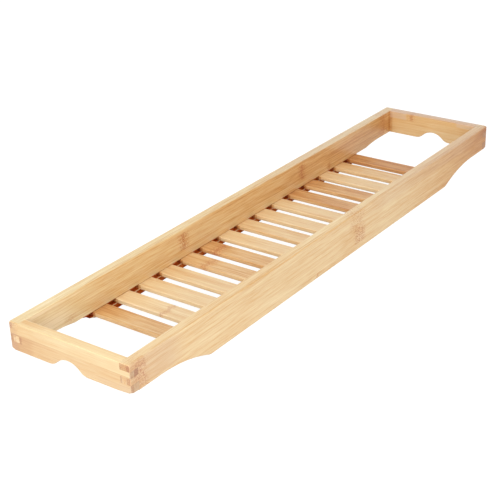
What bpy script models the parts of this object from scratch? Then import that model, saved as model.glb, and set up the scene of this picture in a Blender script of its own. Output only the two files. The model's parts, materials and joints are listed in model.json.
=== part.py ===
"""Bath caddy of laminated bamboo.

Two side rails and two end boards are finger jointed into a frame, and fifteen slats are seated in grooves
routed along the inner faces of the rails. The rails are deep in the middle and sweep up at both ends, where
the caddy rests on the rims of a bath. Each end board has a shallow arched hand grip in its lower edge.

Metres, +Z up. The origin is the middle of the rectangle that the rails stand on. X runs along the caddy,
left to right, and the near rail is the one at -Y.
"""
import math

import bmesh
import bpy

# Frame
LENGTH = 0.700
WIDTH = 0.1475
RAIL_HEIGHT = 0.045
END_HEIGHT = 0.030
SIDE_THICKNESS = 0.0115
END_THICKNESS = 0.0109

# Edges sanded round
ARRIS_RADIUS = 0.0013
ARRIS_SEGMENTS = 3

# Lower edge of a side rail, from its end: a straight rest for the bath's rim, a hollow sweep and a round toe
RIM_REST = 0.040
SWEEP_RADIUS = 0.178
SWEEP_STEPS = 14
TOE_RADIUS = 0.015
TOE_STEPS = 4

# Arched hand grip in the lower edge of an end board
GRIP_HALF_WIDTH = 0.024
GRIP_DEPTH = 0.010
GRIP_CROWN_RADIUS = 0.020
GRIP_STEPS = 8

# Finger joints, counted down from the top. The lowest finger is the end board's and takes what height is left.
FINGER_COUNT = 4
FINGER_HEIGHT = 0.0068

# Slats, the open space between them and each end board, and the routed groove that takes their ends
SLAT_COUNT = 15
SLAT_WIDTH = 0.0217
SLAT_THICKNESS = 0.0048
SLAT_RISE = 0.0073
OPEN_END = 0.08675
SLAT_EDGE_RADIUS = 0.0010
SLAT_EDGE_STEPS = 4
GROOVE_DEPTH = 0.0050
GROOVE_MARGIN = 0.0065
GROOVE_END_STEPS = 10

# Fits and cuts
CLEARANCE = 0.0003
OVERRUN = 0.0050
MATCH_TOLERANCE = 0.00002
WELD_DISTANCE = 0.00001
SHARP_ANGLE = math.radians(30)

# Satin bamboo: sRGB colours of the boards, and of the slats by how far each was toasted
RAIL_COLOUR = "E2B67C"
END_COLOUR = "ECC58C"
SLAT_COLOURS = {"pale": "EFCF9C", "honey": "DFAF6C", "toasted": "CF9A5C"}
SLAT_TONES = (
    "honey", "pale", "pale", "pale", "pale",
    "honey", "pale", "pale", "pale", "pale",
    "honey", "toasted", "pale", "pale", "toasted",
)
BAMBOO_ROUGHNESS = 0.45

# The slats are set by hand: how far each lies from its even place, towards the right, as a share of the gap
SLAT_DRIFT_SHARES = (
    -0.02, -0.05, 0, -0.02, 0.02,
    0.04, -0.03, 0.04, 0.02, 0.03,
    0.02, 0.06, -0.01, -0.01, -0.10,
)

# Sizes and places that follow
HALF_LENGTH = LENGTH / 2
HALF_WIDTH = WIDTH / 2
INNER_HALF_LENGTH = HALF_LENGTH - END_THICKNESS
INNER_HALF_WIDTH = HALF_WIDTH - SIDE_THICKNESS
END_RISE = RAIL_HEIGHT - END_HEIGHT
RACK_HALF_LENGTH = INNER_HALF_LENGTH - OPEN_END
SLAT_GAP = (2 * RACK_HALF_LENGTH - SLAT_COUNT * SLAT_WIDTH) / (SLAT_COUNT - 1)
SLAT_PITCH = SLAT_WIDTH + SLAT_GAP
SLAT_LENGTH = 2 * (INNER_HALF_WIDTH + GROOVE_DEPTH - CLEARANCE)
SLAT_LEVEL = SLAT_RISE + SLAT_THICKNESS / 2

# A flat outline is drawn in X and Y. Turned by UPRIGHT its Y stands up, and by CROSSWISE it also runs along Y.
UPRIGHT = (math.radians(90), 0, 0)
CROSSWISE = (math.radians(90), 0, math.radians(90))


def new_collections(*names):
    """Clears the scene and returns a new collection for each name."""
    for thing in list(bpy.data.objects):
        bpy.data.objects.remove(thing, do_unlink=True)
    collections = [bpy.data.collections.new(name) for name in names]
    for collection in collections:
        bpy.context.scene.collection.children.link(collection)
    return collections


def linear(hex_colour):
    """An sRGB hex colour as the linear RGBA that a shader takes."""
    channels = [int(hex_colour[i:i + 2], 16) / 255 for i in (0, 2, 4)]
    return [c / 12.92 if c <= 0.04045 else ((c + 0.055) / 1.055) ** 2.4 for c in channels] + [1]


def bamboo(piece_name, hex_colour):
    """Satin bamboo for one piece."""
    material = bpy.data.materials.new(piece_name + "_bamboo")
    material.use_nodes = True
    shader = material.node_tree.nodes["Principled BSDF"]
    shader.inputs["Base Color"].default_value = linear(hex_colour)
    shader.inputs["Roughness"].default_value = BAMBOO_ROUGHNESS
    shader.inputs["Metallic"].default_value = 0
    material.diffuse_color = linear(hex_colour)
    return material


def arc(centre, radius, start, end, steps):
    """Points along an arc between two angles in radians, both ends included."""
    angles = [start + (end - start) * step / steps for step in range(steps + 1)]
    return [(centre[0] + radius * math.cos(a), centre[1] + radius * math.sin(a)) for a in angles]


def mirrored(half):
    """A half outline and its reflection, so that the whole runs on from the last point of the half."""
    return half + [(-x, y) for x, y in reversed(half)]


def board(name, outline, thickness, collection):
    """A board of a flat outline: a filled, extruded curve made a mesh, one face for each of its caps."""
    curve = bpy.data.curves.new(name + "_outline", "CURVE")
    curve.dimensions = "2D"
    curve.fill_mode = "BOTH"
    curve.extrude = thickness / 2
    spline = curve.splines.new("POLY")
    spline.points.add(len(outline) - 1)
    for point, (x, y) in zip(spline.points, outline):
        point.co = (x, y, 0, 1)
    spline.use_cyclic_u = True
    drawing = bpy.data.objects.new(name + "_outline", curve)
    collection.objects.link(drawing)

    depsgraph = bpy.context.evaluated_depsgraph_get()
    mesh = bpy.data.meshes.new_from_object(drawing.evaluated_get(depsgraph))
    mesh.name = name
    shape = bmesh.new()
    shape.from_mesh(mesh)
    bmesh.ops.remove_doubles(shape, verts=shape.verts, dist=WELD_DISTANCE)
    for side in (-1, 1):
        cap = [face for face in shape.faces if all(corner.co.z * side > 0 for corner in face.verts)]
        bmesh.ops.dissolve_faces(shape, faces=cap)
    bmesh.ops.recalc_face_normals(shape, faces=shape.faces)
    shape.to_mesh(mesh)
    shape.free()
    piece = bpy.data.objects.new(name, mesh)
    piece.matrix_world = drawing.matrix_world
    collection.objects.link(piece)
    bpy.data.objects.remove(drawing, do_unlink=True)
    bpy.data.curves.remove(curve)
    return piece


def block(name, low, high, collection):
    """A box between two corners."""
    mesh = bpy.data.meshes.new(name)
    shape = bmesh.new()
    bmesh.ops.create_cube(shape, size=1)
    bmesh.ops.scale(shape, vec=[b - a for a, b in zip(low, high)], verts=shape.verts)
    shape.to_mesh(mesh)
    shape.free()
    piece = bpy.data.objects.new(name, mesh)
    piece.location = [(a + b) / 2 for a, b in zip(low, high)]
    collection.objects.link(piece)
    return piece


def as_cutter(piece):
    """Marks a piece as a cutter, which isn't part of the caddy."""
    piece.hide_render = True
    piece.display_type = "WIRE"
    return piece


def cut(piece, cutter):
    """Takes a cutter's shape out of a piece."""
    modifier = piece.modifiers.new(cutter.name, "BOOLEAN")
    modifier.operation = "DIFFERENCE"
    modifier.solver = "EXACT"
    modifier.object = cutter


def sand_arrises(piece, stays_square):
    """Rounds the sharp edges of a board, apart from those whose middle lies where a joint keeps them square."""
    bpy.context.view_layer.update()
    shape = bmesh.new()
    shape.from_mesh(piece.data)
    weight = shape.edges.layers.float.new("bevel_weight_edge")
    for edge in shape.edges:
        middle = piece.matrix_world @ ((edge.verts[0].co + edge.verts[1].co) / 2)
        if edge.calc_face_angle() > SHARP_ANGLE and not stays_square(middle):
            edge[weight] = 1
    shape.to_mesh(piece.data)
    shape.free()
    bevel = piece.modifiers.new("Sanded arrises", "BEVEL")
    bevel.limit_method = "WEIGHT"
    bevel.width = ARRIS_RADIUS
    bevel.segments = ARRIS_SEGMENTS


def matches(value, target):
    """Whether a place found on a mesh is the one worked out from the sizes, on either side of the middle."""
    return abs(abs(value) - target) < MATCH_TOLERANCE


def side_rail_outline():
    """A side rail seen from its face, right half first: rim rest, sweep, toe and the deep middle."""
    sweep_centre_x = HALF_LENGTH - RIM_REST
    sweep_centre_y = END_RISE - SWEEP_RADIUS
    reach = SWEEP_RADIUS + TOE_RADIUS
    toe_run = math.sqrt(reach ** 2 - (TOE_RADIUS - sweep_centre_y) ** 2)
    slope = math.asin(toe_run / reach)
    square = math.radians(90)
    sweep = arc((sweep_centre_x, sweep_centre_y), SWEEP_RADIUS, square, square + slope, SWEEP_STEPS)
    toe = arc((sweep_centre_x - toe_run, TOE_RADIUS), TOE_RADIUS, slope - square, -square, TOE_STEPS)
    return mirrored([(HALF_LENGTH, RAIL_HEIGHT), (HALF_LENGTH, END_RISE)] + sweep + toe[1:])


def end_board_outline():
    """An end board seen from outside, right half first, with the arched hand grip in its lower edge."""
    reach = (GRIP_HALF_WIDTH ** 2 + GRIP_DEPTH ** 2) / (2 * GRIP_DEPTH)
    shoulder_radius = reach - GRIP_CROWN_RADIUS
    slope = math.asin(GRIP_HALF_WIDTH / reach)
    square = math.radians(90)
    shoulder_centre = (GRIP_HALF_WIDTH, END_RISE + shoulder_radius)
    crown_centre = (0, END_RISE + GRIP_DEPTH - GRIP_CROWN_RADIUS)
    shoulder = arc(shoulder_centre, shoulder_radius, -square, -square - slope, GRIP_STEPS)
    crown = arc(crown_centre, GRIP_CROWN_RADIUS, square - slope, square, GRIP_STEPS)
    half = [(HALF_WIDTH, RAIL_HEIGHT), (HALF_WIDTH, END_RISE)] + shoulder + crown[1:-1]
    top_of_grip = [(0, END_RISE + GRIP_DEPTH)]
    return half + top_of_grip + [(-x, y) for x, y in reversed(half)]


def slat_outline():
    """A slat seen from its end: a flat strip with four rounded edges."""
    across = SLAT_WIDTH / 2 - SLAT_EDGE_RADIUS
    up = SLAT_THICKNESS / 2 - SLAT_EDGE_RADIUS
    square = math.radians(90)
    corners = [(across, up), (-across, up), (-across, -up), (across, -up)]
    outline = []
    for turn, corner in enumerate(corners):
        outline += arc(corner, SLAT_EDGE_RADIUS, turn * square, (turn + 1) * square, SLAT_EDGE_STEPS)
    return outline


def groove_outline():
    """The routed groove seen from inside the tray: a slot with the round ends that the bit leaves."""
    radius = SLAT_THICKNESS / 2 + CLEARANCE
    reach = RACK_HALF_LENGTH + GROOVE_MARGIN - radius
    square = math.radians(90)
    return mirrored(arc((reach, 0), radius, square, -square, GROOVE_END_STEPS))


def finger_cutters(collection):
    """Sockets for the joints, right across the frame. The end boards' fingers are cut out of the rails, with the
    clearance round them, and the rails' fingers out of the end boards, so that each joint has one clearance."""
    rail_cutters = []
    end_cutters = []
    for level in range(FINGER_COUNT):
        top = RAIL_HEIGHT - (FINGER_COUNT - 1 - level) * FINGER_HEIGHT
        bottom = END_RISE if level == 0 else top - FINGER_HEIGHT
        for side in (-1, 1):
            name = f"{'left' if side < 0 else 'right'}_{level}"
            if level % 2 == 0:
                low_edge = bottom - (OVERRUN if level == 0 else CLEARANCE)
                inner = side * (INNER_HALF_LENGTH - CLEARANCE)
                outer = side * (HALF_LENGTH + OVERRUN)
                low = (min(inner, outer), -HALF_WIDTH - OVERRUN, low_edge)
                high = (max(inner, outer), HALF_WIDTH + OVERRUN, top + CLEARANCE)
                rail_cutters.append(as_cutter(block("rail_socket_" + name, low, high, collection)))
            else:
                high_edge = top + (OVERRUN if level == FINGER_COUNT - 1 else 0)
                inner = side * (INNER_HALF_WIDTH - CLEARANCE)
                outer = side * (HALF_WIDTH + OVERRUN)
                low = (-HALF_LENGTH - OVERRUN, min(inner, outer), bottom)
                high = (HALF_LENGTH + OVERRUN, max(inner, outer), high_edge)
                end_cutters.append(as_cutter(block("end_socket_" + name, low, high, collection)))
    return rail_cutters, end_cutters


def side_rail(name, side, sockets, parts, cutters):
    """A side rail on the -Y or +Y side, sanded, grooved inside for the slats and socketed at both ends."""
    rail = board(name, side_rail_outline(), SIDE_THICKNESS, parts)
    rail.rotation_euler = UPRIGHT
    rail.location.y = side * (HALF_WIDTH - SIDE_THICKNESS / 2)
    sand_arrises(rail, lambda at: matches(at.x, HALF_LENGTH) and matches(at.y, INNER_HALF_WIDTH))

    groove = as_cutter(board(name + "_groove", groove_outline(), GROOVE_DEPTH + OVERRUN, cutters))
    groove.rotation_euler = UPRIGHT
    groove.location.y = side * (INNER_HALF_WIDTH + (GROOVE_DEPTH - OVERRUN) / 2)
    groove.location.z = SLAT_LEVEL
    for cutter in [groove] + sockets:
        cut(rail, cutter)
    rail.data.materials.append(bamboo(name, RAIL_COLOUR))
    return rail


def end_board(name, side, sockets, parts):
    """An end board on the -X or +X side, sanded and cut to fingers at both ends."""
    end = board(name, end_board_outline(), END_THICKNESS, parts)
    end.rotation_euler = CROSSWISE
    end.location.x = side * (HALF_LENGTH - END_THICKNESS / 2)
    sand_arrises(end, lambda at: matches(at.y, HALF_WIDTH) and matches(at.x, INNER_HALF_LENGTH))
    for cutter in sockets:
        cut(end, cutter)
    end.data.materials.append(bamboo(name, END_COLOUR))
    return end


def slats(parts):
    """The slats, all of one shape, spaced by hand and seated in both grooves."""
    first = -RACK_HALF_LENGTH + SLAT_WIDTH / 2
    pattern = board("slat", slat_outline(), SLAT_LENGTH, parts)
    strip = pattern.data
    strip.materials.append(None)
    bpy.data.objects.remove(pattern, do_unlink=True)
    made = []
    for number, tone, drift in zip(range(SLAT_COUNT), SLAT_TONES, SLAT_DRIFT_SHARES):
        slat = bpy.data.objects.new(f"slat_{number + 1:02d}", strip)
        slat.rotation_euler = UPRIGHT
        slat.location = (first + number * SLAT_PITCH + drift * SLAT_GAP, 0, SLAT_LEVEL)
        slat.material_slots[0].link = "OBJECT"
        slat.material_slots[0].material = bamboo(slat.name, SLAT_COLOURS[tone])
        parts.objects.link(slat)
        made.append(slat)
    return made


def shade(pieces):
    """Smooth shading that keeps the crisp edges."""
    for mesh in {piece.data for piece in pieces}:
        mesh.shade_smooth()
        mesh.set_sharp_from_angle(angle=SHARP_ANGLE)


def main():
    parts, cutters = new_collections("bath_caddy", "cutters")
    rail_sockets, end_sockets = finger_cutters(cutters)
    pieces = [
        side_rail("side_rail_near", -1, rail_sockets, parts, cutters),
        side_rail("side_rail_far", 1, rail_sockets, parts, cutters),
        end_board("end_board_left", -1, end_sockets, parts),
        end_board("end_board_right", 1, end_sockets, parts),
    ]
    shade(pieces + slats(parts))


main()
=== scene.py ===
import json
import math

import bmesh
import bpy
from mathutils import Matrix, Vector


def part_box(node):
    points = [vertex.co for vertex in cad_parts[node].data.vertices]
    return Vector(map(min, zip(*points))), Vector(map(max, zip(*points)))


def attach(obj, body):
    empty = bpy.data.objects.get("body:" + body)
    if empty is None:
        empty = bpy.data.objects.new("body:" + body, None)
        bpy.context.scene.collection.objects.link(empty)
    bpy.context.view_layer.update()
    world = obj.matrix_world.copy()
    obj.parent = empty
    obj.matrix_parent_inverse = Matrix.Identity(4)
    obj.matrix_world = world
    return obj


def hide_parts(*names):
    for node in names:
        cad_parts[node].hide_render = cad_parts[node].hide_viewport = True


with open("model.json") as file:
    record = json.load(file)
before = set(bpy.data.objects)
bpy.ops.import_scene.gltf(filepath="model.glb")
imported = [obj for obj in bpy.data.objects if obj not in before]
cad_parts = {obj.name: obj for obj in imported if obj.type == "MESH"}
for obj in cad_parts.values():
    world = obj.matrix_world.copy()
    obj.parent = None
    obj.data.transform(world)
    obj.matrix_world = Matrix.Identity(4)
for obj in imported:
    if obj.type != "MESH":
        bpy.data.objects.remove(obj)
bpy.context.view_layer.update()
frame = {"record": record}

# Bath caddy of laminated bamboo, standing on its two rails on a white studio floor. Metres, +Z up.
# X runs along the caddy and the near rail is the one at -Y.

# The frame's boards lie where their solids are
RAIL_LOW, RAIL_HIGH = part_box("side_rail_near")
END_LOW, END_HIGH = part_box("end_board_left")
HALF_LENGTH = RAIL_HIGH.x
HALF_WIDTH = END_HIGH.y
TOP = RAIL_HIGH.z
END_RISE = END_LOW.z
SIDE_THICKNESS = RAIL_HIGH.y - RAIL_LOW.y
END_THICKNESS = END_HIGH.x - END_LOW.x
INNER_HALF_LENGTH = HALF_LENGTH - END_THICKNESS
INNER_HALF_WIDTH = HALF_WIDTH - SIDE_THICKNESS

# Lower edge of a rail: a straight rest for the bath's rim, a hollow sweep and a round toe
RIM_REST = 0.040
SWEEP_RADIUS = 0.178
SWEEP_STEPS = 40
TOE_RADIUS = 0.015
TOE_STEPS = 8

# Arched hand grip in the lower edge of an end board
GRIP_HALF_WIDTH = 0.024
GRIP_DEPTH = 0.010
GRIP_CROWN_RADIUS = 0.020
GRIP_STEPS = 16
LEFT_GRIP_SHIFT = 0.0015
RIGHT_GRIP_SHIFT = -0.0015

# Finger joints, counted down from the top and glued tight; the lowest finger takes what height is left
FINGER_HEIGHT = 0.0068
LOW_LINE, MIDDLE_LINE, HIGH_LINE = (TOP - count * FINGER_HEIGHT for count in (3, 2, 1))
GLUE_LINE = 0.00012
JOINT_MARGIN = 0.001

# Arrises sanded round by hand, and corners taken off by (run along, rise up): the near left one is worn most
ARRIS_RADIUS = 0.0008
ARRIS_STEPS = 4
HIGH_CORNER = (0.0026, 0.0010)
LOW_CORNER = (0.0045, 0.0017)
WORN_CORNER = ((0.018, 0.0010), (0.0052, 0.0027))

# Slats and the groove that their ends sit in, which runs out into the sweeps
SLAT_EDGE_RADIUS = 0.0009
SLAT_EDGE_STEPS = 4
GROOVE_DEPTH = 0.0050
GROOVE_HALF_HEIGHT = 0.0027
GROOVE_END = 0.2825
GROOVE_LIP = 0.0013
GROOVE_END_STEPS = 16
OVERRUN = 0.004

# What tells the faces and corners of a mesh apart
MERGE_DISTANCE = 0.000001
FACE_TEST_STEP = 0.0005
SLANT = 0.05
SHARP_ANGLE = math.radians(32)

# Patterns and the marks on the boards are laid out in millimetres
MILLIMETRES = 1000


def blank_of(shape, name):
    """A bare piece at the origin from a finished bmesh."""
    bmesh.ops.remove_doubles(shape, verts=shape.verts, dist=MERGE_DISTANCE)
    bmesh.ops.recalc_face_normals(shape, faces=shape.faces)
    mesh = bpy.data.meshes.new(name)
    shape.to_mesh(mesh)
    shape.free()
    piece = bpy.data.objects.new(name, mesh)
    bpy.context.scene.collection.objects.link(piece)
    return piece


def line(shape, start, *places):
    """Draws straight lines on from a corner of a flat outline in X and Z, and returns the last corner."""
    for x, z in places:
        end = shape.verts.new((x, 0, z))
        shape.edges.new((start, end))
        start = end
    return start


def arc(shape, start, centre_x, centre_z, turn, steps):
    """Spins a corner of a flat outline round a centre, and returns the corner that ends the arc."""
    centre = (centre_x, 0, centre_z)
    spun = bmesh.ops.spin(
        shape, geom=[start], cent=centre, axis=(0, 1, 0), angle=turn, steps=steps, use_merge=False
    )
    return next(part for part in spun["geom_last"] if isinstance(part, bmesh.types.BMVert))


def rail_half_outline(shape):
    """Right half of a side rail: top, two fingers, rim rest, sweep, toe and the deep middle."""
    tight = GLUE_LINE / 2
    socket = INNER_HALF_LENGTH - tight
    reach = SWEEP_RADIUS + TOE_RADIUS
    drop = END_RISE - SWEEP_RADIUS - TOE_RADIUS
    slope = math.acos(-drop / reach)
    sweep_x = HALF_LENGTH - RIM_REST
    corner = line(
        shape, shape.verts.new((0, 0, TOP)),
        (HALF_LENGTH, TOP), (HALF_LENGTH, HIGH_LINE + tight), (socket, HIGH_LINE + tight),
        (socket, MIDDLE_LINE - tight), (HALF_LENGTH, MIDDLE_LINE - tight), (HALF_LENGTH, LOW_LINE + tight),
        (socket, LOW_LINE + tight), (socket, END_RISE), (sweep_x, END_RISE),
    )
    corner = arc(shape, corner, sweep_x, END_RISE - SWEEP_RADIUS, -slope, SWEEP_STEPS)
    corner = arc(shape, corner, sweep_x - reach * math.sin(slope), TOE_RADIUS, slope, TOE_STEPS)
    line(shape, corner, (0, 0))


def end_half_outline(shape):
    """Half of an end board, drawn along X: top, two fingers, lower edge and the arched hand grip."""
    tight = GLUE_LINE / 2
    shoulder = INNER_HALF_WIDTH - tight
    reach = (GRIP_HALF_WIDTH ** 2 + GRIP_DEPTH ** 2) / (2 * GRIP_DEPTH)
    slope = math.asin(GRIP_HALF_WIDTH / reach)
    shoulder_radius = reach - GRIP_CROWN_RADIUS
    corner = line(
        shape, shape.verts.new((0, 0, TOP)),
        (shoulder, TOP), (shoulder, HIGH_LINE - tight), (HALF_WIDTH, HIGH_LINE - tight),
        (HALF_WIDTH, MIDDLE_LINE + tight), (shoulder, MIDDLE_LINE + tight), (shoulder, LOW_LINE - tight),
        (HALF_WIDTH, LOW_LINE - tight), (HALF_WIDTH, END_RISE), (GRIP_HALF_WIDTH, END_RISE),
    )
    corner = arc(shape, corner, GRIP_HALF_WIDTH, END_RISE + shoulder_radius, slope, GRIP_STEPS)
    arc(shape, corner, 0, END_RISE + GRIP_DEPTH - GRIP_CROWN_RADIUS, -slope, GRIP_STEPS)


def board(half_outline, thickness):
    """Mirrors half an outline, fills it and thickens it equally to both sides."""
    shape = bmesh.new()
    half_outline(shape)
    bmesh.ops.mirror(
        shape, geom=shape.verts[:] + shape.edges[:], matrix=Matrix(), axis="X", merge_dist=MERGE_DISTANCE
    )
    bmesh.ops.remove_doubles(shape, verts=shape.verts, dist=MERGE_DISTANCE)
    face = bmesh.ops.contextual_create(shape, geom=shape.edges[:])["faces"]
    bmesh.ops.translate(shape, vec=(0, -thickness / 2, 0), verts=shape.verts)
    grown = bmesh.ops.extrude_face_region(shape, geom=face)["geom"]
    corners = [part for part in grown if isinstance(part, bmesh.types.BMVert)]
    bmesh.ops.translate(shape, vec=(0, thickness, 0), verts=corners)
    bmesh.ops.recalc_face_normals(shape, faces=shape.faces)
    return shape


def in_joint(place):
    """Whether a place lies inside one of the four finger joints."""
    across = INNER_HALF_WIDTH - JOINT_MARGIN < abs(place.y) < HALF_WIDTH
    along = INNER_HALF_LENGTH - JOINT_MARGIN < abs(place.x) < HALF_LENGTH
    return across and along and END_RISE < place.z < TOP


def sand_arrises(shape):
    """Rounds every sharp edge between two faces that show, and leaves the edges inside the joints square."""
    shows = {}
    for face in shape.faces:
        slanted = min(abs(part) for part in face.normal) > SLANT
        just_outside = face.calc_center_median() + face.normal * FACE_TEST_STEP
        shows[face] = slanted or not in_joint(just_outside)
    arrises = [
        edge for edge in shape.edges
        if edge.calc_face_angle() > SHARP_ANGLE and all(shows[face] for face in edge.link_faces)
    ]
    bmesh.ops.bevel(
        shape, geom=arrises, affect="EDGES", offset=ARRIS_RADIUS, offset_type="OFFSET", segments=ARRIS_STEPS,
        profile=0.5, clamp_overlap=True, material=-1
    )


def take_point_off(shape, corner, size):
    """Cuts the point off an outer corner, further along its two level edges than up its standing one."""
    run, rise = size
    up = -1 if corner.z < TOP / 2 else 1
    outward = Vector((math.copysign(1 / run, corner.x), math.copysign(1 / run, corner.y), up / rise))
    cut = bmesh.ops.bisect_plane(
        shape, geom=shape.verts[:] + shape.edges[:] + shape.faces[:], dist=MERGE_DISTANCE,
        plane_co=corner - Vector((0, 0, up * rise)), plane_no=outward, clear_outer=True
    )
    rim = [part for part in cut["geom_cut"] if isinstance(part, bmesh.types.BMEdge)]
    bmesh.ops.contextual_create(shape, geom=rim)


def part_off(shape, place, normal):
    """Scores a board all round along a plane, so that an arris can stop there."""
    bmesh.ops.bisect_plane(
        shape, geom=shape.verts[:] + shape.edges[:] + shape.faces[:], plane_co=place, plane_no=normal,
        dist=MERGE_DISTANCE
    )


def groove_cutter(side, slat_level):
    """What the router takes out of a rail: a slot with round ends."""
    shape = bmesh.new()
    round_end = GROOVE_END - GROOVE_HALF_HEIGHT
    start = shape.verts.new((round_end, 0, slat_level + GROOVE_HALF_HEIGHT))
    corner = arc(shape, start, round_end, slat_level, math.pi, GROOVE_END_STEPS)
    corner = line(shape, corner, (-round_end, slat_level - GROOVE_HALF_HEIGHT))
    corner = arc(shape, corner, -round_end, slat_level, math.pi, GROOVE_END_STEPS)
    shape.edges.new((corner, start))
    face = bmesh.ops.contextual_create(shape, geom=shape.edges[:])["faces"]
    grown = bmesh.ops.extrude_face_region(shape, geom=face)["geom"]
    corners = [part for part in grown if isinstance(part, bmesh.types.BMVert)]
    bmesh.ops.translate(shape, vec=(0, side * (GROOVE_DEPTH + OVERRUN), 0), verts=corners)
    bmesh.ops.translate(shape, vec=(0, side * (INNER_HALF_WIDTH - OVERRUN), 0), verts=shape.verts)
    return blank_of(shape, "groove_cutter")


def rout(piece, cutter):
    """Cuts a groove for good and clears the cutter away."""
    cut = piece.modifiers.new("groove", "BOOLEAN")
    cut.operation = "DIFFERENCE"
    cut.solver = "EXACT"
    cut.object = cutter
    depsgraph = bpy.context.evaluated_depsgraph_get()
    routed = bpy.data.meshes.new_from_object(piece.evaluated_get(depsgraph))
    piece.modifiers.clear()
    piece.data = routed
    bpy.data.objects.remove(cutter, do_unlink=True)


def give_groove_painted_shade(piece, slat_level):
    """Gives the routed groove, and the face below its eased lip, the second finish, their painted shade."""
    for face in piece.data.polygons:
        depth = abs(face.center.y) - INNER_HALF_WIDTH
        rise = face.center.z - slat_level
        in_groove = FACE_TEST_STEP < depth < GROOVE_DEPTH + FACE_TEST_STEP
        in_groove = in_groove and abs(rise) < GROOVE_HALF_HEIGHT + MERGE_DISTANCE
        below = abs(depth) < ARRIS_RADIUS and rise < -GROOVE_HALF_HEIGHT - GROOVE_LIP
        if abs(face.center.x) < GROOVE_END and (in_groove or below):
            face.material_index = 1


def side_rail(name, side, slat_level):
    """A side rail on the -Y or +Y side."""
    shape = board(rail_half_outline, SIDE_THICKNESS)
    for end in (-1, 1):
        part_off(shape, (end * (INNER_HALF_LENGTH - GLUE_LINE / 2), 0, 0), (1, 0, 0))
    bmesh.ops.translate(shape, vec=(0, side * (HALF_WIDTH - SIDE_THICKNESS / 2), 0), verts=shape.verts)
    for end in (-1, 1):
        take_point_off(shape, Vector((end * HALF_LENGTH, side * HALF_WIDTH, TOP)), HIGH_CORNER)
    sand_arrises(shape)
    for level in (slat_level - GROOVE_HALF_HEIGHT, slat_level - GROOVE_HALF_HEIGHT - GROOVE_LIP):
        part_off(shape, (0, 0, level), (0, 0, 1))
    piece = blank_of(shape, name)
    rout(piece, groove_cutter(side, slat_level))
    give_groove_painted_shade(piece, slat_level)
    return piece


def end_board(name, side, grip_shift):
    """An end board on the -X or +X side, its hand grip cut a little off centre."""
    shape = board(end_half_outline, END_THICKNESS)
    grip_reach = GRIP_HALF_WIDTH + MERGE_DISTANCE
    grip_crown = END_RISE + GRIP_DEPTH + MERGE_DISTANCE
    grip = [corner for corner in shape.verts if abs(corner.co.x) < grip_reach and corner.co.z < grip_crown]
    bmesh.ops.translate(shape, vec=(grip_shift, 0, 0), verts=grip)
    for end in (-1, 1):
        part_off(shape, (end * (INNER_HALF_WIDTH - GLUE_LINE / 2), 0, 0), (1, 0, 0))
    quarter_turn = Matrix.Rotation(math.radians(90), 3, "Z")
    bmesh.ops.rotate(shape, cent=(0, 0, 0), matrix=quarter_turn, verts=shape.verts)
    bmesh.ops.translate(shape, vec=(side * (HALF_LENGTH - END_THICKNESS / 2), 0, 0), verts=shape.verts)
    for end in (-1, 1):
        near_left = side == end == -1
        for size in WORN_CORNER if near_left else (LOW_CORNER, ):
            take_point_off(shape, Vector((side * HALF_LENGTH, end * HALF_WIDTH, END_RISE)), size)
    sand_arrises(shape)
    return blank_of(shape, name)


def slat(name, low, high):
    """A planed strip with its four long edges eased."""
    shape = bmesh.new()
    bmesh.ops.create_cube(shape, size=1)
    bmesh.ops.scale(shape, vec=high - low, verts=shape.verts)
    bmesh.ops.translate(shape, vec=(low + high) / 2, verts=shape.verts)
    long_edges = [
        edge for edge in shape.edges if abs(edge.verts[0].co.y - edge.verts[1].co.y) > SLAT_EDGE_RADIUS
    ]
    bmesh.ops.bevel(
        shape, geom=long_edges, affect="EDGES", offset=SLAT_EDGE_RADIUS, offset_type="OFFSET",
        segments=SLAT_EDGE_STEPS, profile=0.5, clamp_overlap=True, material=-1
    )
    return blank_of(shape, name)


def smooth(piece):
    """Smooth shading that keeps flat faces flat and square edges crisp."""
    piece.data.shade_smooth()
    piece.data.set_sharp_from_angle(angle=SHARP_ANGLE)
    weigh = piece.modifiers.new("flat_faces_lead", "WEIGHTED_NORMAL")
    weigh.keep_sharp = True


def linear(hex_colour):
    """An sRGB hex colour as the linear RGBA that a shader takes."""
    channels = [int(hex_colour[i:i + 2], 16) / 255 for i in (0, 2, 4)]
    return [c / 12.92 if c <= 0.04045 else ((c + 0.055) / 1.055) ** 2.4 for c in channels] + [1]


def add(tree, kind, inputs=None, **settings):
    """Adds a node with its settings; each input takes a value, or the socket that feeds it."""
    node = tree.nodes.new("ShaderNode" + kind)
    for key, value in settings.items():
        setattr(node, key, value)
    for key, value in (inputs or {}).items():
        if isinstance(value, bpy.types.NodeSocket):
            tree.links.new(value, node.inputs[key])
        else:
            node.inputs[key].default_value = value
    return node


# Bamboo's tones from the palest planed strip, through honey and toasted strips, to the darkest red-brown
TONES = (
    (-0.2, "FFE6C2"), (0.0, "F3D8A8"), (0.2, "ECC996"), (0.4, "E2B376"), (0.6, "CD9152"), (0.8, "B46F36"),
    (1.0, "984618"),
)
KNUCKLE_BLUSH = "BE6A34"
END_GRAIN = "AC7555"
# Greyer, pinker wood that shows along some tops and corners; towards the right of the tops it is a painted
# reflection of the white studio in the lacquer
PINK_WOOD_AND_PAINTED_SHEEN = "D8B8A0"

# How object space turns so that the grain runs along X, with the strips' width in Y and the plies in Z.
# Along, across and through are X, Z and -Y in a rail, Y, Z and X in an end board, and Y, -X and Z in a slat.
RAIL_TURN = (-90, 0, 0)
END_TURN = (-90, -90, 0)
SLAT_TURN = (0, 0, -90)

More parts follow.
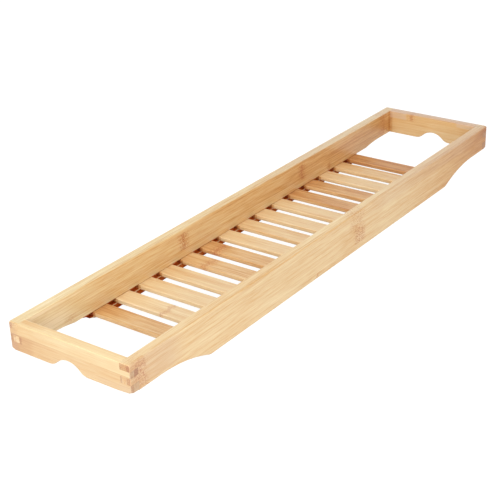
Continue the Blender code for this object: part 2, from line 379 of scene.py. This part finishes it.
# The figure's sizes in millimetres along, across and through the grain. Real fibres are 0.3 mm thick, too
# fine to show, so they are drawn 0.6 mm thick.
CLOUD_SIZE = (150, 9, 9)
STREAK_SIZE = (150, 2.4, 2.4)
LINE_SIZE = (45, 1.1, 1.1)
FIBRE_SIZE = (15, 0.6, 0.6)
DASH_SIZE = (1.7, 1.3, 1.3)
WANDER_SIZE = (60, 3.5, 3.5)
KNUCKLE_WANDER = 3.5
RING_REACH = 1.3
RING_BLUR = 1.8
SEAM_REACH = 0.05
SEAM_BLUR = 0.3
GRAIN_JUMP = 300
# Dark fibre bundles dot a cut end 0.9 mm apart; these are how many fit in a millimetre, the same three ways
BUNDLES = (0.02, 1.1, 1.1)

# How far each part of the figure shifts the tone, how much less painted shade the planed edges take, and how
# much of the figure the painted shade calms
STRIP_TONE = 0.04
CLOUD_TONE = 0.18
STREAK_TONE = 0.16
LINE_TONE = 0.30
FIBRE_TONE = 0.22
KNUCKLE_TONE = 0.08
SEAM_TONE = 0.05
BLUSH = 0.62
FALLOFF_EDGE_LOSS = 0.85
FALLOFF_CALM = 1.0

# Satin lacquer, and what the fibres and the cut ends add to its roughness
LACQUER_ROUGHNESS = 0.36
FIBRE_ROUGHNESS = 0.16
END_ROUGHNESS = 0.15
COAT_ROUGHNESS = 0.35
RELIEF = 0.00012
RELIEF_STRENGTH = 0.35
SEAM_RELIEF = -0.4
KNUCKLE_RELIEF = 0.4


def add_up(tree, total, parts):
    """Adds patterns to a total, each with its own weight."""
    for pattern, weight in parts:
        total = add(tree, "Math", {0: pattern, 1: weight, 2: total}, operation="MULTIPLY_ADD").outputs[0]
    return total


def between(tree, value, low, high, border):
    """1 where a value lies between two limits and 0 outside them, with a soft border."""
    middle = add(tree, "Math", {0: value, 1: (low + high) / 2}, operation="SUBTRACT")
    distance = add(tree, "Math", {0: middle.outputs[0]}, operation="ABSOLUTE")
    half = (high - low) / 2
    inside = add(
        tree, "MapRange", {"Value": distance.outputs[0], "From Min": half + border, "From Max": half},
        interpolation_type="SMOOTHSTEP"
    )
    return inside.outputs[0]


def stretched_noise(tree, space, size, detail):
    """Cloudy noise drawn out along the grain, its spots sized in millimetres along, across and through."""
    fitted = add(tree, "Mapping", {"Vector": space, "Scale": [1 / length for length in size]})
    noise = add(
        tree, "TexNoise", {"Vector": fitted.outputs[0], "Scale": 1.0, "Detail": detail, "Roughness": 0.55}
    )
    return add(tree, "MapRange", {"Value": noise.outputs["Fac"], "From Min": 0.3, "From Max": 0.7}).outputs[0]


def layers(tree, position, stack):
    """The glued layer that a point lies in: its number, its own tones and a thin line at each seam."""
    number, seams = 0.0, 0.0
    totals = [0.0] * (len(stack[0]) - 1)
    last = totals[:]
    for start, *tones in stack:
        past = add(tree, "Math", {0: position, 1: start}, operation="GREATER_THAN").outputs[0]
        number = add_up(tree, number, ((past, 1.0), ))
        totals = [
            add_up(tree, total, ((past, tone - before), )) for total, tone, before in zip(totals, tones, last)
        ]
        last = tones
        seam = between(tree, position, start - SEAM_REACH, start + SEAM_REACH, SEAM_BLUR)
        seams = add_up(tree, seams, ((seam, 1.0), ))
    return number, seams, totals


def knuckle_marks(tree, along, across, grain, knuckles):
    """The cane's joints: a patch of short reddish dashes each, most with a thin wavy ring through it."""
    mottle = stretched_noise(tree, grain, DASH_SIZE, 1.0)
    dashes = add(tree, "MapRange", {"Value": mottle, "From Min": 0.45, "From Max": 0.8}).outputs[0]
    dashes = add_up(tree, 0.1, ((dashes, 1.5), ))
    wander = stretched_noise(tree, grain, WANDER_SIZE, 1.0)
    wavy = add_up(tree, along, ((wander, KNUCKLE_WANDER), ))
    total = 0.0
    for spot, low, high, ring_strength, dash_strength, spread in knuckles:
        middle = spot + KNUCKLE_WANDER / 2
        ring = between(tree, wavy, middle - RING_REACH, middle + RING_REACH, RING_BLUR)
        patch = between(tree, wavy, middle - spread / 2, middle + spread / 2, spread)
        patch = add(tree, "Math", {0: patch, 1: dashes}, operation="MULTIPLY").outputs[0]
        knuckle = add_up(tree, 0.0, ((ring, ring_strength), (patch, dash_strength)))
        height = between(tree, across, low, high, spread / 4)
        total = add_up(tree, total, ((height, knuckle), ))
    return total


def mark_shifts(tree, places, marks):
    """What the marks add to the tone, to the depth of the end grain and to the share of pink."""
    totals = (0.0, 0.0, 0.0)
    for *limits, shifts in marks:
        inside = 1.0
        for place, (low, high, border) in zip(places, limits):
            near = between(tree, place, low, high, border)
            inside = add(tree, "Math", {0: near, 1: inside}, operation="MULTIPLY").outputs[0]
        totals = [add_up(tree, total, ((inside, shift), )) for total, shift in zip(totals, shifts)]
    return totals


def bundle_dots(tree, grain):
    """Dark fibre bundles in a cut end, and the paler wood between them."""
    space = add(tree, "Mapping", {"Vector": grain, "Scale": BUNDLES})
    bundles = add(tree, "TexVoronoi", {"Vector": space.outputs[0], "Scale": 1.0}).outputs["Distance"]
    return add(
        tree, "MapRange", {"Value": bundles, "From Min": 0.15, "From Max": 0.5, "To Min": 1.3, "To Max": 0.6}
    ).outputs[0]


def tone_colour(tree, tone):
    """The bamboo's colour for a tone."""
    palest, darkest = TONES[0][0], TONES[-1][0]
    shade = add(tree, "MapRange", {"Value": tone, "From Min": palest, "From Max": darkest})
    colours = add(tree, "ValToRGB", {0: shade.outputs[0]})
    ramp = colours.color_ramp
    while len(ramp.elements) < len(TONES):
        ramp.elements.new(1)
    for element, (position, colour) in zip(ramp.elements, TONES):
        element.position = (position - palest) / (darkest - palest)
        element.color = linear(colour)
    return colours.outputs[0]


def bamboo(
    name, turn, tone, seed, strips=((-500, 0), ), plies=((-500, 0, 0.5), ), knuckles=(), painted_falloffs=(), marks=(),
    tint="FFFFFF", edge_tint="FFFFFF", figure=1.0, lacquer=0.5
):
    """Bamboo strips glued into a board, sanded and lacquered.

    The eye gets pale honey wood with soft streaks along it, fine fibres, a knuckle here and there, dotted
    reddish cut ends and a low satin sheen.

    strips are (start, tone); plies are (start, tone, depth of the end grain); knuckles are (place, low, high,
    ring, dashes, spread); drifts are (start, end, tone); marks are (low, high, border) along, across and
    through, then (tone, depth of the end grain, share of pink). All places are in millimetres, and a higher
    tone is darker. tint colours the wide faces and edge_tint their planed edges, figure is the strength of
    the streaks, and lacquer the weight of the coat.
    """
    material = bpy.data.materials.new(name)
    material.use_nodes = True
    tree = material.node_tree
    shader = tree.nodes["Principled BSDF"]
    turned = [math.radians(angle) for angle in turn]
    place = add(tree, "TexCoord")
    board_space = add(
        tree, "Mapping", {"Vector": place.outputs["Object"], "Rotation": turned, "Scale": [MILLIMETRES] * 3}
    ).outputs[0]
    along, across, through = add(tree, "SeparateXYZ", {0: board_space}).outputs
    facing = add(
        tree, "Mapping", {"Vector": place.outputs["Normal"], "Rotation": turned}, vector_type="VECTOR"
    )
    end_on, edge_on, _ = add(tree, "SeparateXYZ", {0: facing.outputs[0]}).outputs
    end_on = add(tree, "Math", {0: end_on}, operation="ABSOLUTE").outputs[0]
    edge_on = add(tree, "Math", {0: edge_on}, operation="ABSOLUTE", use_clamp=True).outputs[0]

    # The strip and ply that a point lies in, with a jump of the grain from one to the next
    strip_number, strip_seams, (strip_tone, ) = layers(tree, across, strips)
    ply_number, ply_seams, (ply_tone, end_depth) = layers(tree, through, plies)
    number = add(tree, "CombineXYZ", {1: strip_number, 2: ply_number})
    chance = add(tree, "TexWhiteNoise", {"Vector": number.outputs[0], "W": seed}, noise_dimensions="4D")
    jump = add(tree, "VectorMath", {0: chance.outputs["Color"], 1: [GRAIN_JUMP] * 3}, operation="MULTIPLY")
    grain = add(tree, "VectorMath", {0: board_space, 1: jump.outputs[0]}, operation="ADD").outputs[0]

    # Broad clouds, long streaks, finer lines and fibres, which swing both ways about the board's own tone
    clouds, streaks, lines, fibres = (
        stretched_noise(tree, grain, size, 2.0) for size in (CLOUD_SIZE, STREAK_SIZE, LINE_SIZE, FIBRE_SIZE)
    )
    patterns = (
        (chance.outputs["Value"], STRIP_TONE), (clouds, CLOUD_TONE), (streaks, STREAK_TONE),
        (lines, LINE_TONE), (fibres, FIBRE_TONE)
    )
    middle_tone = -figure * sum(weight for _, weight in patterns) / 2
    pattern_tone = add_up(tree, middle_tone, [(pattern, figure * weight) for pattern, weight in patterns])

    # Painted shade for the light falling off along a board, and painted light where its tone is below zero:
    # it lies in the wide faces, less in their planed edges, and calms the pattern
    on_face = add_up(tree, 1.0, ((edge_on, -FALLOFF_EDGE_LOSS), ))
    painted_falloff_tone = 0.0
    for start, end, darker in painted_falloffs:
        painted_falloff = add(tree, "MapRange", {"Value": along, "From Min": start, "From Max": end, "To Max": darker})
        painted_falloff_tone = add_up(tree, painted_falloff_tone, ((painted_falloff.outputs[0], on_face), ))
    calm = add_up(tree, 1.0, ((painted_falloff_tone, -FALLOFF_CALM), ))

    # All the tones together, then the knuckles' blush, the pink strips and the tints
    knuckle = knuckle_marks(tree, along, across, grain, knuckles)
    mark_tone, mark_depth, pink = mark_shifts(tree, (along, across, through), marks)
    tone = add_up(tree, tone, (
        (strip_tone, 1.0), (ply_tone, 1.0), (knuckle, KNUCKLE_TONE), (strip_seams, SEAM_TONE),
        (ply_seams, SEAM_TONE), (mark_tone, 1.0), (painted_falloff_tone, 1.0), (pattern_tone, calm)
    ))
    blush = add(tree, "Math", {0: knuckle, 1: BLUSH}, operation="MULTIPLY", use_clamp=True).outputs[0]
    colour = tone_colour(tree, tone)
    for share, other in ((blush, KNUCKLE_BLUSH), (pink, PINK_WOOD_AND_PAINTED_SHEEN)):
        colour = add(tree, "Mix", {0: share, 6: colour, 7: linear(other)}, data_type="RGBA").outputs[2]
    tints = add(tree, "Mix", {0: edge_on, 6: linear(tint), 7: linear(edge_tint)}, data_type="RGBA").outputs[2]
    tinted = add(tree, "Mix", {0: 1.0, 6: colour, 7: tints}, data_type="RGBA", blend_type="MULTIPLY")

    # Cut ends of the fibres: darker, dotted with the dark bundles
    end_grain = add(tree, "MapRange", {"Value": end_on, "From Min": 0.75, "From Max": 0.95}).outputs[0]
    dotted = add(tree, "Math", {0: end_grain, 1: bundle_dots(tree, grain)}, operation="MULTIPLY").outputs[0]
    end_depth = add(tree, "Math", {0: end_depth, 1: mark_depth}, operation="ADD").outputs[0]
    ends = add(tree, "Math", {0: dotted, 1: end_depth}, operation="MULTIPLY", use_clamp=True).outputs[0]
    base = add(tree, "Mix", {0: ends, 6: tinted.outputs[2], 7: linear(END_GRAIN)}, data_type="RGBA")
    tree.links.new(base.outputs[2], shader.inputs["Base Color"])

    # The lacquer's sheen is duller on fibres and cut ends, and their relief is felt more than seen
    roughness = add_up(tree, LACQUER_ROUGHNESS, ((fibres, FIBRE_ROUGHNESS), (end_grain, END_ROUGHNESS)))
    tree.links.new(roughness, shader.inputs["Roughness"])
    relief = add_up(tree, fibres, ((knuckle, KNUCKLE_RELIEF), (strip_seams, SEAM_RELIEF)))
    bump = add(tree, "Bump", {"Strength": RELIEF_STRENGTH, "Distance": RELIEF, "Height": relief})
    tree.links.new(bump.outputs[0], shader.inputs["Normal"])
    shader.inputs["Coat Weight"].default_value = lacquer
    shader.inputs["Coat Roughness"].default_value = COAT_ROUGHNESS
    return material


def dress(piece, node, slot_name, *finishes):
    """Finishes a board, gives it its materials and lets it stand for its solid."""
    smooth(piece)
    while len(piece.data.materials) < len(finishes):
        piece.data.materials.append(None)
    for place, finish in enumerate(finishes):
        piece.data.materials[place] = finish
    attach(piece, "root")
    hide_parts(node)


# Camera: a long lens from the left front, a little above
camera_data = bpy.data.cameras.new("studio_camera")
camera_data.lens = 84.32
camera_data.sensor_width = 36
camera_data.clip_end = 20
camera = bpy.data.objects.new("studio_camera", camera_data)
camera.location = (-0.97711, -0.67396, 0.56849)
camera.rotation_euler = [math.radians(angle) for angle in (64.1519, 1.8511, -54.2472)]
bpy.context.scene.collection.objects.link(camera)
bpy.context.scene.camera = camera

low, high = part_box("slat_01")
slat_level = (low.z + high.z) / 2

# Where marks lie on the boards, in millimetres, as (low, high, border)
inner_face = INNER_HALF_WIDTH * MILLIMETRES
outer_face = HALF_WIDTH * MILLIMETRES
groove_floor = (slat_level - GROOVE_HALF_HEIGHT) * MILLIMETRES
low_line, middle_line, high_line = (
    round(level * MILLIMETRES, 1) for level in (LOW_LINE, MIDDLE_LINE, HIGH_LINE)
)
SECOND_FINGER = (middle_line, high_line, 0.3)
THIRD_FINGER = (low_line, middle_line, 0.3)
LOWEST_FINGER = (14, low_line, 0.3)
TOP_FACE = (44.4, 47, 0.3)
SOFT_TOP_FACE = (44.4, 47, 0.5)
NEAR_OUTSIDE = (73, 80, 1)
NEAR_BOARD = (60, 80, 1)
FAR_INSIDE = (-66, -60, 1)
FAR_BOARD = (-80, -60, 1)
LEFT_END = (-360, -349, 0.3)
LEFT_OUTSIDE = (-352, -349, 0.5)
LEFT_BOARD = (-352, -338, 1)
RIGHT_INSIDE = (338, 345, 1)
RIGHT_SKIN = (338, 341, 1)
RIGHT_BOARD = (338, 352, 1)
NEAR_END = (-80, -73, 0.3)
ACROSS = (-80, 80, 1)

# The groove and the rail's face below its lip get painted shade, dark red-brown and matte, deeper at the
# groove's left end
groove_painted_shade = bamboo(
    "painted_shade_groove", RAIL_TURN, 0.47, 17.0,
    marks=(((-300, -230, 90), (-50, 50, 1), (-100, 100, 1), (0.25, 0, 0)), ),
    tint="FFB080", edge_tint="FFB080", lacquer=0
)
groove_painted_shade.node_tree.nodes["Principled BSDF"].inputs["Specular IOR Level"].default_value = 0

# The boards' bamboo, each with plies, knuckles and marks of its own
near_rail = bamboo(
    "near_rail_bamboo", RAIL_TURN, 0.16, 3.0, strips=((-50, 0.02), (6.5, 0), (24.5, 0.02), (42.5, -0.01)),
    plies=((-200, -0.07, 0.8), (66.1, -0.02, 0.75), (69.9, 0.07, 0.9), (73.3, 0.0, 0.9)),
    knuckles=(
        (29, 28, 46, 0, 0.4, 14), (34, 9, 25, 0, 0.95, 10), (-337, 10, 43.5, 0, 0.8, 9),
        (-52, -1, 6, 0.1, 0.6, 3)
    ),
    # Painted shade where the light falls off: darker towards the right end, and a little towards the left
    painted_falloffs=((90, 350, 0.48), (-270, -350, 0.16)),
    marks=(
        # Outer face: the dark right end, soft patches in the middle, and two pinker stretches
        ((349, 352, 1), (14, 46, 1), (70, 80, 1), (0.25, 0, 0)),
        ((345, 420, 30), (38, 46, 8), NEAR_OUTSIDE, (0.10, 0, 0)),
        ((5, 20, 16), (8, 18, 16), NEAR_BOARD, (0.10, 0, 0)),
        ((20, 80, 12), (28, 34, 12), NEAR_BOARD, (0.08, 0, 0)),
        ((-80, -20, 25), (32, 46, 6), NEAR_OUTSIDE, (0.06, 0, 0)),
        ((-120, 230, 60), (4, 36, 5), NEAR_OUTSIDE, (-0.03, 0, 0)),
        ((90, 270, 60), (34, 46, 6), NEAR_OUTSIDE, (0, 0, 0.15)),
        ((-360, -300, 30), (20, 46, 6), NEAR_OUTSIDE, (0, 0, 0.3)),
        # Top: its darker strips, and pinker to the right, a painted reflection of the white studio in the
        # lacquer
        ((-240, -80, 50), TOP_FACE, (60, 69.9, 0.3), (0.10, 0, 0)),
        ((-250, 420, 50), TOP_FACE, (69.9, 72.8, 0.6), (0.09, 0, 0)),
        ((-130, 10, 50), TOP_FACE, (72.8, 80, 0.6), (0.06, 0, 0)),
        ((240, 420, 240), TOP_FACE, NEAR_BOARD, (0.02, 0, 0.4)),
        # Fingers that show in the left end: plies of the third one, and the top one's outer ply
        ((-360, -330, 0.3), THIRD_FINGER, (63.5, 69, 0.3), (-0.12, -0.3, 0)),
        (LEFT_END, THIRD_FINGER, (69, 73.2, 0.3), (-0.1, -0.12, 0.2)),
        (LEFT_END, THIRD_FINGER, (60, 63.9, 0.3), (-0.05, 0, 0.5)),
        ((-360, -330, 0.8), (high_line, 46, 0.8), (71, 80, 0.8), (0.1, 0.3, 0)),
    ),
    edge_tint="FBFDFE", figure=0.95, lacquer=0.1,
)
far_rail = bamboo(
    "far_rail_bamboo", RAIL_TURN, 0.14, 8.0, strips=((-50, 0), (4, 0.01), (22, 0.03), (40, 0.03)),
    plies=((-200, 0.0, 0.9), (-69.9, -0.02, 0.4), (-66.1, 0.06, 0.2)),
    knuckles=(
        (-106, 22, 39.5, 0.45, 0.8, 8), (124, 22, 39.5, 0.5, 0.7, 7), (186, 14, 22, 0.4, 0.4, 6),
        (-283, 14, 22, 0.1, 0.25, 6), (322, 20, 44, 0.3, 0.7, 10)
    ),
    # Painted shade where the light falls off towards the right end, and painted light towards the left end
    painted_falloffs=((-50, 350, 0.34), (-120, -300, -0.12), (-240, -350, -0.2)),
    marks=(
        # Inner face: darker along its upper edge; paler towards both ends, with painted light at the left end
        # against the end board's shadow; painted shade in the far corner
        ((-60, 150, 60), (42, 45, 2.5), (-63, -60, 0.5), (0.10, 0, 0)),
        ((328, 345, 12), (10, 46, 3), FAR_INSIDE, (-0.10, 0, 0)),
        ((335, 341, 3), (14, 46, 1), FAR_INSIDE, (0.14, 0, 0)),
        ((-400, -300, 30), (10, 34.5, 2), FAR_INSIDE, (-0.2, 0, 0)),
        # Painted shade where the groove runs out, and on the lip below it
        ((-290, -276, 4), (12, 22, 4), FAR_INSIDE, (0.08, 0, 0)),
        ((-300, 300, 1), (groove_floor - 1.3, groove_floor, 0.2), FAR_INSIDE, (0.3, 0, 0)),
        # Fingers that show in the left end
        ((-352, -349.2, 0.3), (10, 46, 1), FAR_BOARD, (0.25, 0.15, 0)),
        # Top: darker in the middle and outside, pinker to the right as a painted reflection of the white
        # studio in the lacquer, paler inside there
        ((160, 420, 160), TOP_FACE, FAR_BOARD, (0.02, 0, 0.4)),
        ((-60, 60, 60), TOP_FACE, FAR_BOARD, (0.06, 0, 0)),
        ((100, 420, 60), TOP_FACE, (-66.1, -60, 0.3), (-0.08, 0, 0)),
        ((-240, 160, 60), TOP_FACE, (-80, -66.1, 0.3), (0.03, 0, 0)),
    ),
    tint="FFFDF3", edge_tint="FAFEF8", figure=1.2,
)
left_end = bamboo(
    "left_end_bamboo", END_TURN, 0.13, 5.0, strips=((-50, 0.17), (33, 0.02)),
    plies=((-400, 0.02, 0.5), (-346.4, -0.07, 0.5), (-342.7, -0.07, 0.5)),
    # Painted shade where the light falls off towards the far corner
    painted_falloffs=((10, 74, 0.20), ),
    marks=(
        # Fingers that show in the near rail, ply by ply
        ((-80, -60, 0.3), SECOND_FINGER, (-344.5, -338, 0.3), (0.1, 0.6, 0)),
        (NEAR_END, SECOND_FINGER, (-352, -344.5, 0.3), (0.05, -0.08, 0.15)),
        ((-80, -60, 0.3), LOWEST_FINGER, (-352, -346.2, 0.3), (0, 0.1, 0.1)),
        (NEAR_END, LOWEST_FINGER, (-346.2, -338, 0.3), (-0.02, -0.25, 0.15)),
        (NEAR_END, (10, 46, 1), LEFT_BOARD, (0.08, 0.2, 0.2)),
        # Outer face: a little pink, more so low down and at both ends, and a dark line beside a finger
        (ACROSS, (10, 44, 0.5), LEFT_OUTSIDE, (0, 0, 0.1)),
        (ACROSS, (10, 33, 0.5), LEFT_OUTSIDE, (0.02, 0, 0.1)),
        ((68, 80, 6), (10, 46, 1), LEFT_OUTSIDE, (0.1, 0, 0.15)),
        ((50, 80, 8), (10, 29, 4), LEFT_OUTSIDE, (0.06, 0, 0)),
        ((-80, -40, 10), (10, 21, 3), LEFT_OUTSIDE, (0.02, 0, 0.12)),
        ((59.5, 62.3, 0.5), (24, 31, 0.5), LEFT_OUTSIDE, (0.2, 0.15, 0)),
        # Top: darker inside, paler outside, and a golden mark towards its darker far end
        (ACROSS, TOP_FACE, (-342.7, -338, 0.3), (0.07, 0, 0)),
        ((-80, 60, 20), TOP_FACE, (-352, -345.8, 0.5), (-0.09, 0, 0)),
        ((36, 60, 6), TOP_FACE, (-346, -342, 1), (0.13, 0, 0)),
        ((50, 80, 14), TOP_FACE, LEFT_BOARD, (0.06, 0, 0)),
    ),
    tint="F9FFFF", edge_tint="FFFFF6", figure=0.65,
)
right_end = bamboo(
    "right_end_bamboo", END_TURN, 0.37, 11.0, strips=((-50, 0.01), (36, 0.01)),
    plies=((300, 0.0, 0.5), (342.7, -0.12, 0.9), (346.4, -0.12, 0.9)),
    knuckles=((30, 36.5, 46, 0.5, 0.4, 6), ),
    marks=(
        # Top: pinker, a painted reflection of the white studio in the lacquer, and paler outside; then the
        # fingers that show in the near rail
        (ACROSS, SOFT_TOP_FACE, RIGHT_BOARD, (0.1, 0, 0.42)),
        (ACROSS, SOFT_TOP_FACE, (345.8, 352, 0.8), (-0.1, 0, 0.4)),
        ((-80, -72, 1), (14, 47, 0.5), RIGHT_BOARD, (0.3, 0, 0)),
        # Inner face: painted shade in the far corner, paler beside the grip, darker above it, and pinker at
        # both ends of its upper edge
        ((60, 64, 2.5), (14, 44.4, 1), RIGHT_INSIDE, (0.16, 0, 0)),
        ((-36, 2, 10), (14, 36, 3), RIGHT_INSIDE, (-0.05, 0, 0)),
        ((5, 60, 8), (36, 44.4, 0.5), RIGHT_INSIDE, (0.03, 0, 0)),
        ((40, 61, 4), (37, 44.4, 2), RIGHT_SKIN, (-0.04, 0, 0.45)),
        ((-66, -38, 4), (40, 44.4, 1), RIGHT_SKIN, (-0.04, 0, 0.4)),
    ),
    tint="F5FAFC", edge_tint="F8F8FA", figure=0.5,
)

dress(side_rail("near_rail", -1, slat_level), "side_rail_near", "rail_bamboo", near_rail, groove_painted_shade)
dress(side_rail("far_rail", 1, slat_level), "side_rail_far", "rail_bamboo", far_rail, groove_painted_shade)
dress(end_board("left_end", -1, LEFT_GRIP_SHIFT), "end_board_left", "end_bamboo", left_end)
dress(end_board("right_end", 1, RIGHT_GRIP_SHIFT), "end_board_right", "end_bamboo", right_end)

# Slats, numbered from the left: each one's tone, the knuckles of three, how much painted shade some take
# towards the far rail, and how much painted light the left sides of the first few take
SLAT_TONES = (0.42, 0.06, 0.15, 0.15, 0.32, 0.38, 0.16, 0.23, 0.16, 0.17, 0.51, 0.50, 0.15, 0.295, 0.63)
SLAT_KNUCKLES = {
    2: (1, -400, 400, 0.3, 0.3, 4), 5: (30, -400, 400, 0.3, 0.5, 6), 6: (42, -400, 400, 0.5, 0.75, 8)
}
SLAT_PAINTED_SHADE = {1: 0.18, 5: 0.05, 6: 0.16, 8: 0.06, 9: 0.05, 11: 0.05, 12: 0.10}
LEAST_PAINTED_SHADE = 0.03
SLAT_SIDE_PAINTED_LIGHT = {1: -0.08, 2: -0.08, 3: -0.10, 4: -0.08, 5: -0.03}
ANY_WIDTH = (-400, 400, 1)
ANY_DEPTH = (-100, 100, 1)
slots = {entry["node"]: entry["material_slot"] for entry in frame["record"]["subparts"]}
for number, tone in enumerate(SLAT_TONES, 1):
    node = f"slat_{number:02d}"
    low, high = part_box(node)
    left_side = (-low.x * MILLIMETRES - 0.4, -low.x * MILLIMETRES + 1, 0.3)
    finish = bamboo(
        f"slat_{number:02d}_bamboo", SLAT_TURN, tone, 20.0 + number,
        marks=(
            # Painted shade at both ends, in the grooves; then the left side, painted paler,
            # with its own painted shade at the far end
            ((-outer_face, -inner_face + 0.2, 0.3), ANY_WIDTH, ANY_DEPTH, (0.3, 0, 0)),
            ((inner_face - 0.2, outer_face, 0.3), ANY_WIDTH, ANY_DEPTH, (0.3, 0, 0)),
            ((-57, 57, 4), left_side, ANY_DEPTH, (SLAT_SIDE_PAINTED_LIGHT.get(number, 0), 0, 0)),
            ((inner_face - 2.5, outer_face, 1.5), left_side, ANY_DEPTH, (0.3, 0, 0)),
        ),
        knuckles=[SLAT_KNUCKLES[number]] if number in SLAT_KNUCKLES else (),
        # Painted shade towards the far rail
        painted_falloffs=[(20, 62, SLAT_PAINTED_SHADE.get(number, LEAST_PAINTED_SHADE))],
    )
    dress(slat(f"strip_{number:02d}", low, high), node, slots[node], finish)


def lamp(name, place, size, power):
    """A round white lamp that faces the caddy."""
    light = bpy.data.lights.new(name, "AREA")
    light.shape = "DISK"
    light.size = size
    light.energy = power
    holder = bpy.data.objects.new(name, light)
    holder.location = place
    holder.rotation_euler = (-Vector(place)).to_track_quat("-Z", "Y").to_euler()
    bpy.context.scene.collection.objects.link(holder)


# Lamps: a large key from the left end, a soft one overhead and a low fill from the front
lamp("key", (-2.8, 0, 1.1), 1.6, 28.0)
lamp("overhead", (-0.9, 0, 1.7), 1.0, 8.8)
lamp("front_fill", (-1.0, -1.5, 0.4), 1.0, 11.0)


def seen_directly(tree):
    """1 for what the camera sees, straight or in a gloss, and 0 for the light that falls on the caddy."""
    path = add(tree, "LightPath")
    seen = path.outputs["Is Camera Ray"]
    for other in ("Is Glossy Ray", "Is Transmission Ray"):
        seen = add(tree, "Math", {0: seen, 1: path.outputs[other]}, operation="MAXIMUM").outputs[0]
    return seen


# Studio floor: pale paper that shows white and keeps a faint shadow
FLOOR_REACH = 6
PAPER = (0.7, 0.7, 0.7, 1)
SHADOW_PAPER = (0.15, 0.15, 0.15, 1)
PAPER_GLOW = 0.97
shape = bmesh.new()
bmesh.ops.create_grid(shape, x_segments=1, y_segments=1, size=FLOOR_REACH)
floor = blank_of(shape, "studio_floor")
paper = bpy.data.materials.new("studio_paper")
paper.use_nodes = True
tree = paper.node_tree
tree.nodes.remove(tree.nodes["Principled BSDF"])
lit = add(tree, "BsdfDiffuse", {"Color": PAPER})
shadowed = add(tree, "BsdfDiffuse", {"Color": SHADOW_PAPER})
glow = add(tree, "Emission", {"Color": (1, 1, 1, 1), "Strength": PAPER_GLOW})
white = add(tree, "AddShader", {0: shadowed.outputs[0], 1: glow.outputs[0]})
surface = add(tree, "MixShader", {0: seen_directly(tree), 1: lit.outputs[0], 2: white.outputs[0]})
tree.links.new(surface.outputs[0], tree.nodes["Material Output"].inputs["Surface"])
floor.data.materials.append(paper)

# White studio all round, dimmer where it lights the caddy
ROOM_LIGHT = 0.62
world = bpy.data.worlds.new("studio")
bpy.context.scene.world = world
world.use_nodes = True
tree = world.node_tree
room = tree.nodes["Background"]
room.inputs["Color"].default_value = (1, 1, 1, 1)
room.inputs["Strength"].default_value = ROOM_LIGHT
backdrop = add(tree, "Background", {"Color": (1, 1, 1, 1), "Strength": 1.0})
sky = add(tree, "MixShader", {0: seen_directly(tree), 1: room.outputs[0], 2: backdrop.outputs[0]})
tree.links.new(sky.outputs[0], tree.nodes["World Output"].inputs["Surface"])

bpy.context.scene.view_settings.view_transform = "Standard"
